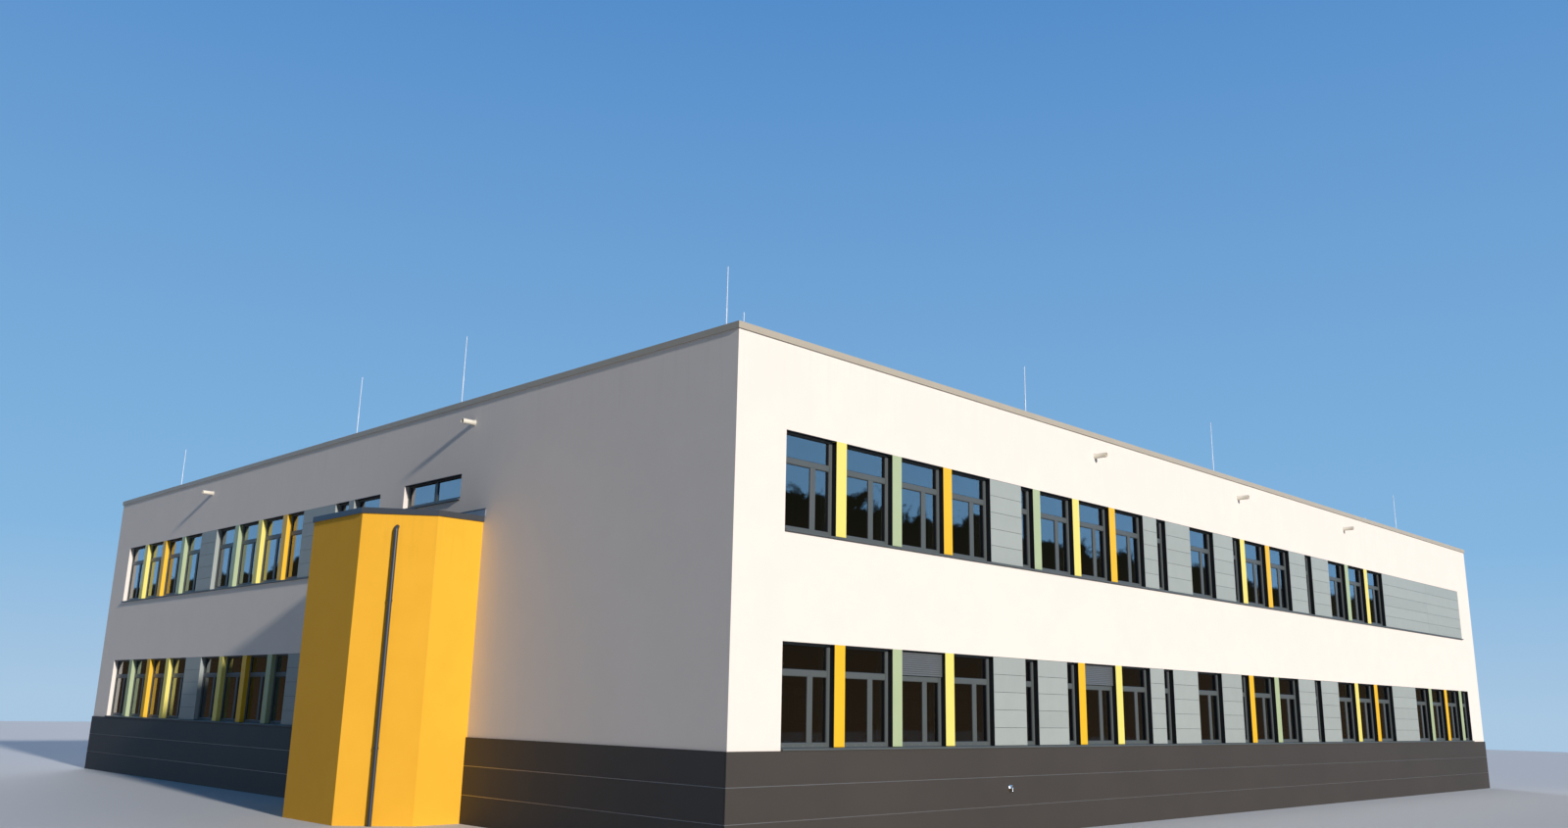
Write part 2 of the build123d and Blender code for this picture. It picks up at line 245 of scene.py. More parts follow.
def wall_face(side):
    """How far out a side's render stands, along its own outward direction."""
    return max(np.dot(corner, SIDES[side][2]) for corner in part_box(f"{side}_wall"))


def solids_on(node, side):
    """The solids of a node that stand on one side: thin ones that reach its face."""
    slack, thickest = 0.001, 1.0
    low, high = solids_in(node, side)
    here = (high[:, 2] > wall_face(side) - slack) & (high[:, 2] - low[:, 2] < thickest)
    return low[here], high[here]


def on_side(points, side):
    """Points in a side's directions u, v, w, turned into the building's x, y, z."""
    return np.asarray(points) @ np.array(SIDES[side], float)


def add_piece(name, parts, finish, smooth=False):
    """One mesh object from a list of (points, faces), with its faces turned outwards."""
    verts, faces = [], []
    count = 0
    for points, polygons in parts:
        points = np.asarray(points).reshape(-1, 3)
        verts.append(points)
        for group in polygons:
            faces += (np.asarray(group) + count).tolist()
        count += len(points)
    mesh = bpy.data.meshes.new(name)
    mesh.from_pydata(np.concatenate(verts).tolist(), [], faces)
    shell = bmesh.new()
    shell.from_mesh(mesh)
    bmesh.ops.recalc_face_normals(shell, faces=shell.faces)
    shell.to_mesh(mesh)
    shell.free()
    if smooth:
        mesh.shade_smooth()
    mesh.materials.append(finish)
    piece = bpy.data.objects.new(name, mesh)
    bpy.context.scene.collection.objects.link(piece)
    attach(piece, "root")
    return piece


def chamfered_boxes(low, high, chamfer):
    """Boxes with chamfered edges. A corner has three points, one on each face that meets there.

    A point lies on the box along its own axis and one chamfer inside it along the other two. That
    gives six faces, twelve edge strips and eight corner triangles for every box.
    """
    low, high = np.atleast_2d(low), np.atleast_2d(high)
    bits = np.array([[c >> axis & 1 for axis in range(3)] for c in range(8)])
    extreme = np.where(bits[None], high[:, None], low[:, None])
    inset = extreme + np.where(bits[None], -chamfer, chamfer)
    own = np.eye(3, dtype=bool)[None, None]
    points = np.where(own, extreme[:, :, None, :], inset[:, :, None, :])
    base = np.arange(len(low))[:, None, None] * points.shape[1] * points.shape[2]
    quads, triangles = [], [[[c * 3, c * 3 + 1, c * 3 + 2] for c in range(8)]]
    for axis in range(3):
        a, b = 1 << (axis + 1) % 3, 1 << (axis + 2) % 3
        for start in (0, 1 << axis):
            quads.append([3 * c + axis for c in (start, start + a, start + a + b, start + b)])
        for start in (0, a, b, a + b):
            ends = (start, start + (1 << axis))
            one, other = (axis + 1) % 3, (axis + 2) % 3
            quads.append([3 * ends[0] + one, 3 * ends[1] + one, 3 * ends[1] + other,
                          3 * ends[0] + other])
    quads = (base + np.array(quads)[None]).reshape(-1, 4)
    triangles = (base + np.array(triangles)).reshape(-1, 3)
    return points.reshape(-1, 3), [quads, triangles]


plinth_board, shader = start_finish("fibre_cement_board_anthracite", Roughness=0.62)
coords = object_coords(plinth_board)
mottled(plinth_board, shader, coords, "#352F28", "#423B33", patch=1.4, detail=5.0)
grained(plinth_board, shader, coords, grain=0.02, depth=0.0004)
coat("plinth_boards", plinth_board)

joint_metal, shader = start_finish("mill_finish_aluminium", Metallic=0.9, Roughness=0.42)
coords = object_coords(joint_metal)
mottled(joint_metal, shader, coords, "#9C9994", "#B4B1AB", patch=0.3)
grained(joint_metal, shader, coords, grain=0.01, depth=0.0002)
profile_set_back, profile_end_gap, profile_chamfer = 0.004, 0.002, 0.001
parts = []
for side in SIDES:
    low, high = solids_on("plinth_boards", side)
    for row_low, row_high in zip(low, high):
        above = low[:, 1][(low[:, 1] > row_high[1]) & (low[:, 0] == row_low[0])]
        if len(above):
            start = (row_low[0] + profile_end_gap, row_high[1], row_low[2])
            end = (row_high[0] - profile_end_gap, above.min(), row_high[2] - profile_set_back)
            points, faces = chamfered_boxes(start, end, profile_chamfer)
            parts.append((on_side(points, side), faces))
add_piece("plinth_joint_profiles", parts, joint_metal)

# Window frames: thermally broken aluminium profiles, powder-coated slate grey. The outer frames
# come from the model; mullions, transoms and glazing beads are cut to length between them.


def powder_coat(name, dark, light, roughness=0.38, specular=0.5):
    """Powder-coated metal: an even colour with the soft orange peel of the baked coat.

    The peel's 2 mm waves are drawn at 10 mm, because finer ones don't show from the ground.
    """
    finish, shader = start_finish(name, Roughness=roughness, Specular_IOR_Level=specular)
    coords = object_coords(finish)
    mottled(finish, shader, coords, dark, light, patch=0.5)
    grained(finish, shader, coords, grain=0.01, depth=0.0002, detail=1.0)
    return finish


mullion_place, mullion_width = 0.780, 0.110
transom_place, transom_height = 1.228, 0.090
bar_step, bar_chamfer = 0.004, 0.003
smallest_leaf = 0.250
frame_grey = powder_coat("powder_coat_slate_grey", "#4F5556", "#575D5E", specular=0.3)


def window_lights(side):
    """Openings of a side's windows, split by their mullions and transoms into bars and lights.

    A mullion's middle is at its place from the frame's left edge, a transom's from its foot. A
    window whose right leaf would be too narrow has no mullion.
    """
    frame_low, frame_high = solids_in(f"{side}_window_frames", side)
    glass_low, glass_high = solids_in(f"{side}_window_glass", side)
    face = frame_high[:, 2].max() - bar_step
    back = glass_high[:, 2].max()
    bars, lights, heads = [], [], []
    for outer_low, low, high in zip(frame_low, glass_low, glass_high):
        foot = outer_low[1] + transom_place - transom_height / 2
        head = foot + transom_height
        middle = outer_low[0] + mullion_place
        bars.append(((low[0], foot, back), (high[0], head, face)))
        heads.append(((low[0], head), (high[0], high[1])))
        if high[0] - middle > smallest_leaf:
            near, far = middle - mullion_width / 2, middle + mullion_width / 2
            bars.append(((near, low[1], back), (far, foot, face)))
            lights += [((low[0], low[1]), (near, foot)), ((far, low[1]), (high[0], foot))]
        else:
            lights.append(((low[0], low[1]), (high[0], foot)))
    return np.array(bars), np.array(lights), np.array(heads), face, back


def mitred_rings(low, high, profile):
    """Closed frames round rectangles, mitred at the corners.

    A profile point is (inset, depth): at each corner it moves inwards by the inset both along and
    across, so that the four lengths meet on the diagonal.
    """
    low, high, profile = np.asarray(low), np.asarray(high), np.asarray(profile)
    corners = np.stack(
        [low, np.stack([high[:, 0], low[:, 1]], 1), high, np.stack([low[:, 0], high[:, 1]], 1)], 1
    )
    inwards = np.array([(1, 1), (-1, 1), (-1, -1), (1, -1)])
    flat = corners[:, :, None] + inwards[None, :, None] * profile[None, None, :, :1]
    depth = np.broadcast_to(profile[None, None, :, 1:], flat.shape[:3] + (1,))
    points = np.concatenate([flat, depth], axis=-1)
    index = np.arange(points.size // 3).reshape(points.shape[:3])
    onward, across = np.roll(index, -1, axis=1), np.roll(index, -1, axis=2)
    both = np.roll(onward, -1, axis=2)
    return points.reshape(-1, 3), [np.stack([index, onward, both, across], -1).reshape(-1, 4)]


seal, shader = start_finish("epdm_seal_black", Roughness=0.7)
coords = object_coords(seal)
mottled(seal, shader, coords, "#101112", "#17181A", patch=0.2)
grained(seal, shader, coords, grain=0.006, depth=0.0002)
bead_width, bead_step, seal_width, seal_height = 0.009, 0.003, 0.009, 0.006
glass_gap = 0.0005
coat("strip_window_frame", frame_grey)
bar_parts, bead_parts, seal_parts = [], [], []
for side in SIDES:
    coat(f"{side}_window_frames", frame_grey)
    bars, lights, heads, face, back = window_lights(side)
    points, faces = chamfered_boxes(bars[:, 0], bars[:, 1], bar_chamfer)
    bar_parts.append((on_side(points, side), faces))
    openings = np.concatenate([lights, heads])
    bed = back + glass_gap
    bead = [(0, bed), (0, face - bead_step), (bead_width, face - 2 * bead_step), (bead_width, bed)]
    points, faces = mitred_rings(openings[:, 0], openings[:, 1], bead)
    bead_parts.append((on_side(points, side), faces))
    strip = [(bead_width, bed), (bead_width, back + seal_height),
             (bead_width + seal_width / 2, back + seal_height), (bead_width + seal_width, bed)]
    points, faces = mitred_rings(openings[:, 0], openings[:, 1], strip)
    seal_parts.append((on_side(points, side), faces))
add_piece("window_bars", bar_parts, frame_grey)
add_piece("glazing_beads", bead_parts, frame_grey)
add_piece("glazing_seals", seal_parts, seal)

# Glass: coated double glazing with a faint cool tint, sealed at the edge. Rooms behind it stay dark
# by day, and the panes mirror the sky. The IOR is higher than glass has, so that one sheet mirrors
# as strongly as the two coated ones.

glass, shader = start_finish("double_glazing", Roughness=0.0, IOR=2.3, Transmission_Weight=1.0)
coords = object_coords(glass)
mottled(glass, shader, coords, "#5E6E75", "#66777E", patch=3.0)
grained(glass, shader, coords, grain=1.2, depth=0.0006, detail=0.0)
for side in SIDES:
    coat(f"{side}_window_glass", glass)
coat("strip_window_glass", glass)

# Outside blinds: a black channel runs under the head of every opening, and a black lining covers
# the right-hand jamb. Both are painted shade: dark sheets placed where the head and that jamb lie
# in shade. The channels also stand for the housings of the blinds. Two blinds are lowered over the
# top lights of ground floor windows. Each slat is a thin aluminium strip rolled to a shallow curve.


def extruded(profile, low, high, axis):
    """Prisms: a closed profile carried from low to high along one axis of the side.

    The profile gives the other two axes in their usual order. Low and high may be arrays, one
    value for each prism, and the profile one array for each prism.
    """
    low, high = np.atleast_1d(low).astype(float), np.atleast_1d(high).astype(float)
    profile = np.asarray(profile, float)
    if profile.ndim == 2:
        profile = np.broadcast_to(profile, (len(low),) + profile.shape)
    count = profile.shape[1]
    ends = np.stack([low, high], 1)[:, :, None, None]
    along = np.broadcast_to(ends, (len(low), 2, count, 1))
    across = np.broadcast_to(profile[:, None], (len(low), 2, count, 2))
    order = np.argsort([axis] + [other for other in range(3) if other != axis])
    points = np.concatenate([along, across], axis=-1)[..., order]
    index = np.arange(points.size // 3).reshape(len(low), 2, count)
    onward = np.roll(index, -1, axis=2)
    walls = np.stack([index[:, 0], onward[:, 0], onward[:, 1], index[:, 1]], -1).reshape(-1, 4)
    return points.reshape(-1, 3), [walls, index.reshape(-1, count)]


# Painted shade: the black coat on the channels and jamb linings stands for the shade in the window
# recesses.
shade_black_coat = powder_coat("powder_coat_black_painted_shade", "#151617", "#1B1C1D", roughness=0.5, specular=0.3)
housing_sheet, housing_lip, housing_set_back, housing_end_gap = 0.003, 0.014, 0.006, 0.001
sill_rise, shade_lining_gap, shade_lining_chamfer = 0.050, 0.0005, 0.0005
openings = [(f"{side}_window_frames", side) for side in SIDES] + [("strip_window_frame", "left")]
parts = []
for node, side in openings:
    low, high = solids_in(node, side)
    back, head = high[:, 2], high[:, 1]
    front = np.full_like(head, wall_face(side) - housing_set_back)
    outline = np.stack([
        np.stack([head, back], 1),
        np.stack([head, front], 1),
        np.stack([head - housing_lip, front], 1),
        np.stack([head - housing_lip, front - housing_sheet], 1),
        np.stack([head - housing_sheet, front - housing_sheet], 1),
        np.stack([head - housing_sheet, back], 1),
    ], 1)
    points, faces = extruded(outline, low[:, 0] + housing_end_gap, high[:, 0] - housing_end_gap, 0)
    parts.append((on_side(points, side), faces))
    if node == "strip_window_frame":
        continue
    # The black lining on the right-hand jamb is painted shade, placed where that side of the recess
    # lies in shade.
    shade_lining_low = np.stack([high[:, 0] - housing_sheet, low[:, 1] + sill_rise, back], 1)
    shade_lining_high = np.stack([high[:, 0] - shade_lining_gap, head - housing_lip, front], 1)
    points, faces = chamfered_boxes(shade_lining_low, shade_lining_high, shade_lining_chamfer)
    parts.append((on_side(points, side), faces))
add_piece("blind_housings_and_painted_shade", parts, shade_black_coat)

blind_metal = powder_coat("roll_formed_blind_aluminium", "#56595A", "#5F6263", roughness=0.45)
blinded_windows = (2, 6)
slat_pitch, slat_width, slat_rise, slat_sheet = 0.038, 0.044, 0.005, 0.0012
slat_points, slat_tilt = 7, np.radians(66)
blind_set_out, guide_gap, lowest_slat = 0.030, 0.012, 0.4 * slat_width
low, high = solids_in("front_window_frames", "front")
across = np.linspace(-0.5, 0.5, slat_points)
bow = slat_rise * (1 - (2 * across) ** 2)
upper = np.stack([across * slat_width, bow + slat_sheet / 2], 1)
lower = np.stack([across * slat_width, bow - slat_sheet / 2], 1)[::-1]
flat = np.concatenate([upper, lower])
turn = np.array([(np.cos(slat_tilt), -np.sin(slat_tilt)), (np.sin(slat_tilt), np.cos(slat_tilt))])
tilted = flat @ turn.T
parts = []
for window in blinded_windows:
    top = high[window][1] - housing_lip - slat_width / 2
    foot = low[window][1] + transom_place + transom_height / 2 + lowest_slat
    heights = np.arange(top, foot, -slat_pitch)
    rise = tilted[:, 1] + heights[:, None]
    depth = np.broadcast_to(high[window][2] + blind_set_out - tilted[:, 0], rise.shape)
    starts = np.full(len(heights), low[window][0] + guide_gap)
    ends = np.full(len(heights), high[window][0] - guide_gap)
    points, faces = extruded(np.stack([rise, depth], -1), starts, ends, 0)
    parts.append((on_side(points, "front"), faces))
add_piece("blind_slats", parts, blind_metal)

# Drain caps: small moulded plastic hoods, pressed over the slots in the bottom rails through which
# the ground floor frames drain.


def turned(profile, centres, segments, axis=2):
    """Surfaces of revolution: profile (radius, height) turned about an axis through each centre.

    A point is centre + (radius cos a, radius sin a, height), with the axis taken as the third.
    """
    profile, centres = np.asarray(profile, float), np.atleast_2d(centres)
    angle = np.linspace(0, 2 * np.pi, segments, endpoint=False)
    radius, height = profile[:, 0][:, None], profile[:, 1][:, None]
    height = np.broadcast_to(height, (len(profile), segments))
    ring = np.stack([radius * np.cos(angle), radius * np.sin(angle), height], -1)
    ring = np.roll(ring, axis + 1, axis=-1)
    points = centres[:, None, None] + ring[None]
    index = np.arange(points.size // 3).reshape(len(centres), len(profile), segments)
    onward = np.roll(index, -1, axis=2)
    walls = np.stack([index[:, :-1], onward[:, :-1], onward[:, 1:], index[:, 1:]], -1)
    caps = np.concatenate([index[:, 0], index[:, -1]])
    return points.reshape(-1, 3), [walls.reshape(-1, 4), caps]


cap_plastic, shader = start_finish("moulded_cap_light_grey", Roughness=0.5)
coords = object_coords(cap_plastic)
mottled(cap_plastic, shader, coords, "#6C706F", "#777B7A", patch=0.1)
grained(cap_plastic, shader, coords, grain=0.005, depth=0.0001)
cap_spacing, cap_radius, cap_rise, cap_height, cap_seat = 0.23, 0.010, 0.005, 0.070, 0.002
first_margin, last_margin = 0.05, 0.08
ground_floor_top = 3.0
cap_profile = [(cap_radius, -cap_seat), (cap_radius, 0.4 * cap_rise), (0.7 * cap_radius, cap_rise),
               (0.2 * cap_radius, 1.15 * cap_rise)]
parts = []
for side in SIDES:
    frame_low, frame_high = solids_in(f"{side}_window_frames", side)
    centres = []
    for low, high in zip(frame_low, frame_high):
        if low[1] < ground_floor_top:
            start = low[0] + cap_spacing / 2 + first_margin
            places = np.arange(start, high[0] - last_margin, cap_spacing)
            centres += [(u, low[1] + cap_height, high[2]) for u in places]
    points, faces = turned(cap_profile, centres, segments=10)
    parts.append((on_side(points, side), faces))
add_piece("drain_caps", parts, cap_plastic, smooth=True)

# Coloured fins: folded sheet in front of the piers between the windows, flush with the render.
# Each is one length, bent round both edges at a 4 mm radius, in lemon, golden or pale green coat.

fin_coats = {
    "yellow": powder_coat("powder_coat_lemon_yellow", "#E3D56C", "#E9DC79", roughness=0.42),
    "orange": powder_coat("powder_coat_golden_yellow", "#E4B21C", "#EABA28", roughness=0.42),
    "green": powder_coat("powder_coat_pale_green", "#A2B18A", "#ABBA94", roughness=0.42),
}
bend_radius, bend_points = 0.004, 5
bend = np.radians(np.linspace(0, 90, bend_points))
for colour, finish in fin_coats.items():
    parts = []
    for side in SIDES:
        low, high = solids_on(f"{colour}_fins", side)
        right = np.stack([np.sin(bend) - 1, np.cos(bend) - 1], 1) * bend_radius
        left = np.stack([1 - np.sin(bend), np.cos(bend) - 1], 1)[::-1] * bend_radius
        left_edge = left[None] + np.stack([low[:, 0], high[:, 2]], 1)[:, None]
        right_edge = right[None] + np.stack([high[:, 0], high[:, 2]], 1)[:, None]
        back = np.stack(
            [np.stack([high[:, 0], low[:, 2]], 1), np.stack([low[:, 0], low[:, 2]], 1)], 1
        )
        profile = np.concatenate([left_edge, right_edge, back], axis=1)
        points, faces = extruded(profile, low[:, 1], high[:, 1], 1)
        parts.append((on_side(points, side), faces))
    piece = add_piece(f"folded_fins_{colour}", parts, finish)
    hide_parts(f"{colour}_fins")

# Grey facade boards: fibre cement in five courses on a black-taped subframe, with 6 mm joints
# through which the tape shows. A folded grey return closes each end of a field down to the wall.
# Boards come out of the press a little lighter or darker, so every board has its own tone.

facade_board, shader = start_finish(
    "fibre_cement_board_pale_grey", Roughness=0.5, Specular_IOR_Level=0.3
)
coords = object_coords(facade_board)
tone = mottled(facade_board, shader, coords, "#969E9C", "#A0A8A5", patch=0.35, detail=5.0)
own_tone = add_node(facade_board, "ShaderNodeAttribute", {"attribute_name": "board_tone"})
shade = add_node(
    facade_board,
    "ShaderNodeMix",
    {"data_type": "RGBA", "blend_type": "MULTIPLY", "Factor": 1.0},
    {6: tone.outputs[2], 7: own_tone.outputs["Color"]},
)
feed(facade_board, shader, "Base Color", shade.outputs[2])
grained(facade_board, shader, coords, grain=0.012, depth=0.0003)
board_courses, board_joint, board_sheet, longest_board = 5, 0.006, 0.012, 3.95
return_sheet, return_gap, backing_gap, board_chamfer = 0.003, 0.002, 0.002, 0.001
tone_spread = 0.035
draw = np.random.default_rng(7)
for side in SIDES:
    low, high = solids_in(f"{side}_panels", side)
    boards, backs, tones = [], [], []
    for field_low, field_high in zip(low, high):
        back_low, back_high = field_low.copy(), field_high.copy()
        back_low[0] += return_sheet
        back_high -= (return_sheet, 0, board_sheet + backing_gap)
        backs.append((back_low, back_high))
        for start, end in ((field_low[0], field_low[0] + return_sheet),
                           (field_high[0] - return_sheet, field_high[0])):
            boards.append(((start, *field_low[1:]), (end, *field_high[1:])))
            tones.append(1.0)
        course = (field_high[1] - field_low[1]) / board_courses
        columns = int(np.ceil((field_high[0] - field_low[0]) / longest_board))
        inner_low = field_low[0] + return_sheet + return_gap
        inner_high = field_high[0] - return_sheet - return_gap
        width = longest_board if columns > 1 else inner_high - inner_low
        for row in range(board_courses):
            foot = field_low[1] + row * course
            for start in np.arange(inner_low, inner_high - board_joint, width + board_joint):
                end = min(start + width, inner_high)
                boards.append(((start, foot, field_high[2] - board_sheet),
                               (end, foot + course - board_joint, field_high[2])))
                tones.append(1 + tone_spread * draw.uniform(-1, 1))
    boards, backs = np.array(boards), np.array(backs)
    points, faces = chamfered_boxes(boards[:, 0], boards[:, 1], board_chamfer)
    piece = add_piece(
        f"{side}_facade_boards", [(on_side(points, side), faces)], facade_board
    )
    tints = piece.data.attributes.new("board_tone", "FLOAT_COLOR", "POINT")
    values = np.ones((len(points), 4))
    values[:, :3] = np.repeat(tones, len(points) // len(boards))[:, None]
    tints.data.foreach_set("color", values.ravel())
    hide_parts(f"{side}_panels")
    points, faces = chamfered_boxes(backs[:, 0], backs[:, 1], board_chamfer)
    add_piece(f"{side}_board_backing", [(on_side(points, side), faces)], seal)

# Sills: coated aluminium sheet, sloped to shed rain and folded down to a nose that hangs clear of
# the wall. They run the whole length of a band in one line.

sill_slope, sill_sheet, nose_drop, nose_reach = 0.016, 0.003, 0.046, 0.052
nose_bend, bend_share, bend_end, bend_drop, inner_bend = 0.004, 0.9, 0.001, 0.003, 0.010
parts = []
for side in SIDES:
    low, high = solids_on("window_sills", side)
    back, nose, foot, top = low[:, 2], high[:, 2], low[:, 1], high[:, 1]
    edge = top - sill_slope
    outline = np.stack([
        np.stack([top, back], 1),
        np.stack([top - bend_share * sill_slope, nose - nose_bend], 1),
        np.stack([edge, nose - bend_end], 1),
        np.stack([edge - bend_drop, nose], 1),
        np.stack([top - nose_drop, nose], 1),
        np.stack([top - nose_drop, nose - sill_sheet], 1),
        np.stack([edge - inner_bend, nose - sill_sheet], 1),
        np.stack([foot, nose - nose_reach], 1),
        np.stack([foot, back], 1),
    ], 1)
    points, faces = extruded(outline, low[:, 0], high[:, 0], 0)
    parts.append((on_side(points, side), faces))
piece = add_piece("sill_sheets", parts, frame_grey)
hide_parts("window_sills")

# Roof: two layers of welded bitumen sheet on insulation. The sheets are a metre wide and lap
# 80 mm, and the top one turns up the inside of the parapet to the coping.

roof_felt, shader = start_finish("slated_bitumen_sheet", Roughness=0.88)
coords = object_coords(roof_felt)
mottled(roof_felt, shader, coords, "#5C5F60", "#73767a", patch=1.7, detail=8.0)
grained(roof_felt, shader, coords, grain=0.01, depth=0.0012)
coat("roof_covering", roof_felt)
coat("annex_roof", roof_felt)
sheet_width, lap_width, lap_rise, lap_end_gap, lap_chamfer = 1.0, 0.08, 0.005, 0.06, 0.002
roof_low, roof_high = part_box("roof_covering")
laps = np.arange(roof_low[0] + sheet_width, roof_high[0] - lap_width, sheet_width)
deck = roof_high[2]
lap_low = [(start, roof_low[1] + lap_end_gap, deck) for start in laps]
lap_high = [(start + lap_width, roof_high[1] - lap_end_gap, deck + lap_rise) for start in laps]
lap_boxes = chamfered_boxes(lap_low, lap_high, lap_chamfer)
add_piece("roof_laps", [lap_boxes], roof_felt)

felt_sheet, fillet, felt_foot, felt_gap = 0.006, 0.05, 0.12, 0.0005
coping_cover, head_gap, head_bevel = 0.020, 0.004, 0.002
felt_head = coping_high[2] - coping_cover - head_gap
turn_up = [(0.0, felt_head), (felt_sheet, felt_head - head_bevel), (felt_sheet, deck + fillet),
           (fillet, deck + felt_sheet), (fillet + felt_foot, deck + felt_sheet),
           (fillet + felt_foot, deck + felt_gap), (0.0, deck + felt_gap)]
ring, faces = mitred_rings(
    [(roof_low[0] + felt_gap, roof_low[1] + felt_gap)],
    [(roof_high[0] - felt_gap, roof_high[1] - felt_gap)],
    turn_up,
)
add_piece("roof_turn_up", [(ring, faces)], roof_felt)

# Coping: folded aluminium in lengths, coil-coated a warm grey and hung over the parapet. The joints
# stay open, so that a length can grow in the sun, and a strap covers each of them.

coping_coat = powder_coat(
    "coil_coated_warm_grey", "#A8A091", "#B3AB9C", roughness=0.45, specular=0.2
)
coat("roof_coping", coping_coat)
strap_width, strap_step, strap_sheet, open_joint = 0.12, 0.0015, 0.004, 0.008
parts = []
for side in SIDES:
    low, high = solids_on("roof_coping", side)
    ends = np.concatenate([low[:, 0] - open_joint / 2, high[:, 0] + open_joint / 2])
    joints = np.unique(ends.round(3))
    outer, inner = high[0][2] + strap_step, low[0][2] - strap_step
    head, foot = high[0][1] + strap_step, low[0][1] - strap_step
    outline = [(foot, outer), (head, outer), (head, inner), (foot, inner),
               (foot, inner + strap_sheet), (head - strap_sheet, inner + strap_sheet),
               (head - strap_sheet, outer - strap_sheet), (foot, outer - strap_sheet)]
    points, faces = extruded(outline, joints - strap_width / 2, joints + strap_width / 2, 0)
    parts.append((on_side(points, side), faces))
add_piece("coping_straps", parts, coping_coat)

# Overflow spouts: pale plastic tubes that throw water clear of the wall when a drain is blocked.
# Each has a rolled lip at its mouth and is sealed into the render with a collar.

spout_plastic, shader = start_finish("overflow_tube_pale_grey", Roughness=0.45)
coords = object_coords(spout_plastic)
mottled(spout_plastic, shader, coords, "#D6CFBF", "#E0D9CA", patch=0.15)
grained(spout_plastic, shader, coords, grain=0.008, depth=0.0002)
tube_sheet, bore_end, wall_gap = 0.008, 0.030, 0.0005
lip_length, lip_inside, lip_outside = 0.004, 0.002, 0.001
collar_height, collar_shoulder, collar_edge, collar_width = 0.012, 0.012, 0.008, 0.016
parts = []
for side in SIDES:
    low, high = solids_on("overflow_spouts", side)
    radius = (high[0][1] - low[0][1]) / 2
    reach = high[0][2] - low[0][2]
    bore = radius - tube_sheet
    outline = [(0.0, bore_end), (bore, bore_end), (bore, reach - lip_length),
               (bore + lip_inside, reach), (radius - lip_outside, reach),
               (radius, reach - lip_length), (radius, collar_height),
               (radius + collar_shoulder, collar_edge), (radius + collar_width, wall_gap),
               (0.0, wall_gap)]
    centres = (low + high) / 2
    centres[:, 2] = low[:, 2]
    points, faces = turned(outline, centres, segments=28)
    parts.append((on_side(points, side), faces))
piece = add_piece("overflow_tubes", parts, spout_plastic, smooth=True)
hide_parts("overflow_spouts")

# Lightning rods: round galvanised rods, stepped to a thinner tip, each held by a clamp in a
# round concrete foot.

galvanised, shader = start_finish("hot_dip_galvanised_steel", Metallic=0.4, Roughness=0.5)
coords = object_coords(galvanised)
spangle = add_node(galvanised, "ShaderNodeTexVoronoi", {"Scale": 1 / 0.02}, {"Vector": coords})
tone = add_node(
    galvanised, "ShaderNodeMix", {"data_type": "RGBA"}, {"Factor": spangle.outputs["Distance"]}
)
tone.inputs[6].default_value = linear("#D6D9DA")
tone.inputs[7].default_value = linear("#C2C6C8")
feed(galvanised, shader, "Base Color", tone.outputs[2])
grained(galvanised, shader, coords, grain=0.008, depth=0.0002)
low, high = solids_in("lightning_rods", "front")
foot_low, foot_high = solids_in("rod_feet", "front")
clamp_radius, clamp_height, clamp_bevel = 0.026, 0.060, 0.005
step_share, step_length, thin_share = 0.6, 0.01, 0.7
point_radius, point_length = 0.001, 0.02
rods = []
for rod_low, rod_high in zip(low, high):
    length = rod_high[1] - rod_low[1]
    rod_radius = (rod_high[0] - rod_low[0]) / 2
    centre = (rod_low + rod_high) / 2
    base = (centre[0], rod_low[1], centre[2])
    thin_radius = thin_share * rod_radius
    outline = [(clamp_radius, 0.0), (clamp_radius, clamp_height),
               (rod_radius, clamp_height + clamp_bevel), (rod_radius, step_share * length),
               (thin_radius, (step_share + step_length) * length),
               (thin_radius, length - point_length), (point_radius, length)]
    rods.append(turned(outline, base, segments=10, axis=1))
foot_radius = (foot_high[0][0] - foot_low[0][0]) / 2
foot_height = foot_high[0][1] - foot_low[0][1]
foot_taper, foot_rim, foot_bevel, foot_crown, socket_radius = 0.004, 0.010, 0.020, 0.003, 0.020
outline = [(foot_radius - foot_taper, 0.0), (foot_radius, foot_rim),
           (foot_radius, foot_height - foot_bevel),
           (foot_radius - foot_bevel, foot_height - foot_crown), (socket_radius, foot_height)]
centres = (foot_low + foot_high) / 2
centres[:, 1] = foot_low[:, 1]
points, faces = turned(outline, centres, segments=28, axis=1)
piece = add_piece(
    "stepped_rods", [(on_side(p, "front"), f) for p, f in rods], galvanised, smooth=True
)
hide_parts("lightning_rods")
piece = add_piece("cast_rod_feet", [(on_side(points, "front"), faces)], concrete)
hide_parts("rod_feet")

# Annex: rendered like the walls and painted a golden orange. Its coping and downpipe are coated
# anthracite, a zinc flashing closes the joint with the white wall, and its roof is felted.

golden_render, shader = start_finish("golden_mineral_render", Roughness=0.9)
coords = object_coords(golden_render)
tone = mottled(golden_render, shader, coords, "#DDA324", "#E6AE30", patch=0.7, detail=6.0)
annex_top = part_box("annex_coping")[0][2]
streaked(golden_render, shader, coords, tone, "#B07C18", top=annex_top, length=1.2, strength=0.25)
grained(golden_render, shader, coords, grain=0.015, depth=0.0012)
for wall in ("near", "front", "far"):
    coat(f"annex_{wall}_wall", golden_render)
anthracite = powder_coat("coil_coated_anthracite", "#2F3338", "#363A40", roughness=0.42)
for node in ("annex_coping", "downpipe", "downpipe_clips"):
    coat(node, anthracite)
zinc, shader = start_finish("weathered_zinc_sheet", Metallic=0.3, Roughness=0.55)
coords = object_coords(zinc)
mottled(zinc, shader, coords, "#878C91", "#969B9F", patch=0.25)
grained(zinc, shader, coords, grain=0.012, depth=0.0003)
coat("annex_flashing", zinc)
rail_height, rail_rise, rail_step, rail_chamfer = 0.022, 0.001, 0.004, 0.001
low, high = solids_in("annex_flashing", "left")
